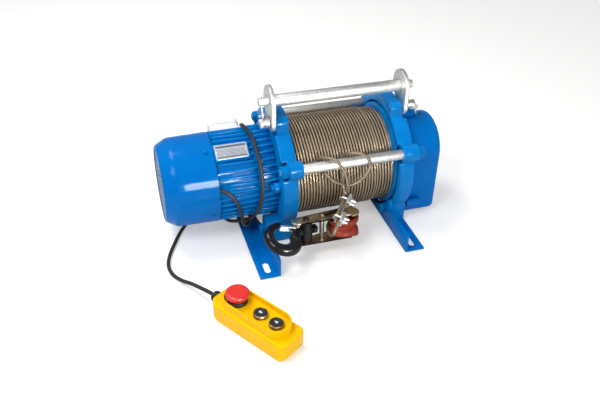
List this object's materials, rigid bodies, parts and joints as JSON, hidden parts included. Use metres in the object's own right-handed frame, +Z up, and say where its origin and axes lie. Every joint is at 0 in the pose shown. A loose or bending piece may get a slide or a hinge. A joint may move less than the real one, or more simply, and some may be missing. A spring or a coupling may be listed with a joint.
{
  "type": "electric winch",
  "caption": "Electric rope winch on two angle feet: finned motor, rope drum between cast frames, gearbox, rope guard, hook block and wired hand control.",
  "frame": {"origin": "floor level, in the middle of the six slots of the two feet", "axes": "+X along the drum axis from the motor to the gearbox, +Z up, the hand control and hook block lie on the -Y side"},
  "size_m": [0.5695, 0.5835, 0.304],
  "materials": {
    "blue_casting": "glossy blue enamel over a rough casting",
    "blue_sheet": "glossy blue enamel",
    "blue_fasteners": "blue enamel over zinc",
    "dark_paint": "dark satin paint",
    "zinc_plate": "bright zinc plate",
    "galvanised": "dull galvanised",
    "machined_steel": "machined, oiled",
    "copper": "varnished copper wire",
    "plate_aluminium": "satin with dark ruled lines",
    "wire_rope": "greased wire rope",
    "white_plastic": "white moulding",
    "black_plastic": "fine moulded grain",
    "cable_jacket": "matt jacket",
    "yellow_zinc": "yellow chromate",
    "dark_steel": "oiled dark steel",
    "red_paint": "red enamel",
    "black_forging": "glossy black over a forging",
    "yellow_plastic": "yellow moulding",
    "red_plastic": "red moulding",
    "bronze_ring": "bronze coloured ring"
  },
  "bodies": {
    "winch_frame": {"left_foot": "blue_sheet", "right_foot": "blue_sheet", "foot_bolts": "zinc_plate", "left_end_frame": "blue_casting", "right_end_frame": "blue_casting", "front_tie_rod": "zinc_plate", "rear_tie_rods": "galvanised", "tie_rod_nuts": "blue_fasteners", "motor_housing": "blue_casting", "drive_end_bell": "blue_casting", "rear_end_shield": "blue_casting", "stator_core": "machined_steel", "stator_windings": "copper", "fan_cowl": "blue_sheet", "cowl_grille": "galvanised", "case_screws": "zinc_plate", "bell_bolts": "zinc_plate", "terminal_box": "white_plastic", "terminal_box_lid": "white_plastic", "cable_glands": "black_plastic", "nameplate": "plate_aluminium", "gear_case": "blue_sheet", "gear_cover": "blue_sheet", "cover_bolts": "zinc_plate", "breather_plug": "white_plastic", "bearings": "machined_steel", "guard_pivots": "zinc_plate", "rope_tail": "wire_rope", "rope_clips": "zinc_plate", "upper_cheek": "yellow_zinc", "lower_cheek": "yellow_zinc", "spacer_bolt": "dark_steel", "sheave_pin": "dark_steel", "motor_lead": "cable_jacket", "pendant_cable": "cable_jacket", "cable_tie": "black_plastic", "pendant_base": "yellow_plastic", "pendant_cover": "yellow_plastic", "pendant_gland": "black_plastic", "button_collars": "bronze_ring", "contact_block": "black_plastic"},
    "drum": {"drum": "dark_paint", "drum_gear": "machined_steel", "rope_core": "wire_rope", "rope_winding": "wire_rope"},
    "lay_shaft": {"intermediate_gear": "machined_steel"},
    "rotor": {"rotor_shaft": "machined_steel", "rotor_core": "machined_steel", "cooling_fan": "black_plastic"},
    "rope_guard": {"guard_plates": "galvanised", "guard_bar": "galvanised", "guard_springs": "zinc_plate"},
    "block_sheave": {"sheave": "red_paint"},
    "hook_crosshead": {"crosshead": "black_forging"},
    "load_hook": {"hook": "black_forging", "latch_pin": "zinc_plate"},
    "hook_latch": {"safety_latch": "zinc_plate"},
    "stop_head": {"stop_button": "red_plastic"},
    "up_cap": {"up_button": "black_plastic"},
    "down_cap": {"down_button": "black_plastic"}
  },
  "joints": [
    {"name": "drum_spin", "type": "hinge", "parent": "winch_frame", "child": "drum", "pos_m": [0, 0.01, 0.114], "axis": [1, 0, 0], "continuous": true},
    {"name": "lay_spin", "type": "hinge", "parent": "winch_frame", "child": "lay_shaft", "pos_m": [0, -0.022, 0.07144], "axis": [1, 0, 0], "continuous": true},
    {"name": "rotor_spin", "type": "hinge", "parent": "winch_frame", "child": "rotor", "pos_m": [0, 0.01, 0.114], "axis": [1, 0, 0], "continuous": true},
    {"name": "guard_swing", "type": "hinge", "parent": "winch_frame", "child": "rope_guard", "pos_m": [0, -0.024, 0.236], "axis": [1, 0, 0], "range_deg": [-12, 12], "stiffness_Nm_per_rad": 6, "springref_deg": 1.72, "deforming": ["guard_springs"]},
    {"name": "sheave_spin", "type": "hinge", "parent": "winch_frame", "child": "block_sheave", "pos_m": [0.015, -0.127, 0.051], "axis": [0.0311, 0.1951, 0.9803], "continuous": true},
    {"name": "crosshead_swing", "type": "hinge", "parent": "winch_frame", "child": "hook_crosshead", "pos_m": [-0.06247, -0.13514, 0.05508], "axis": [0.0311, 0.1951, 0.9803], "range_deg": [0, 45]},
    {"name": "hook_swivel", "type": "hinge", "parent": "hook_crosshead", "child": "load_hook", "pos_m": [-0.06247, -0.13514, 0.05508], "axis": [0.9678, 0.2391, -0.0783], "range_deg": [-40, 0]},
    {"name": "latch_swing", "type": "hinge", "parent": "load_hook", "child": "hook_latch", "pos_m": [-0.08487, -0.13055, 0.0604], "axis": [0.1553, -0.3226, 0.9337], "range_deg": [0, 40], "stiffness_Nm_per_rad": 0.05, "springref_deg": -17.19},
    {"name": "stop_press", "type": "slide", "parent": "winch_frame", "child": "stop_head", "axis": [0, 0, 1], "range_m": [-0.004, 0]},
    {"name": "up_press", "type": "slide", "parent": "winch_frame", "child": "up_cap", "axis": [0, 0, 1], "range_m": [-0.003, 0], "stiffness_N_per_m": 300, "springref_m": 0.002},
    {"name": "down_press", "type": "slide", "parent": "winch_frame", "child": "down_cap", "axis": [0, 0, 1], "range_m": [-0.003, 0], "stiffness_N_per_m": 300, "springref_m": 0.002}
  ],
  "couplings": [
    {"joint": "lay_spin", "follows": "drum_spin", "ratio": -5.4545},
    {"joint": "rotor_spin", "follows": "drum_spin", "ratio": 29.752}
  ]
}
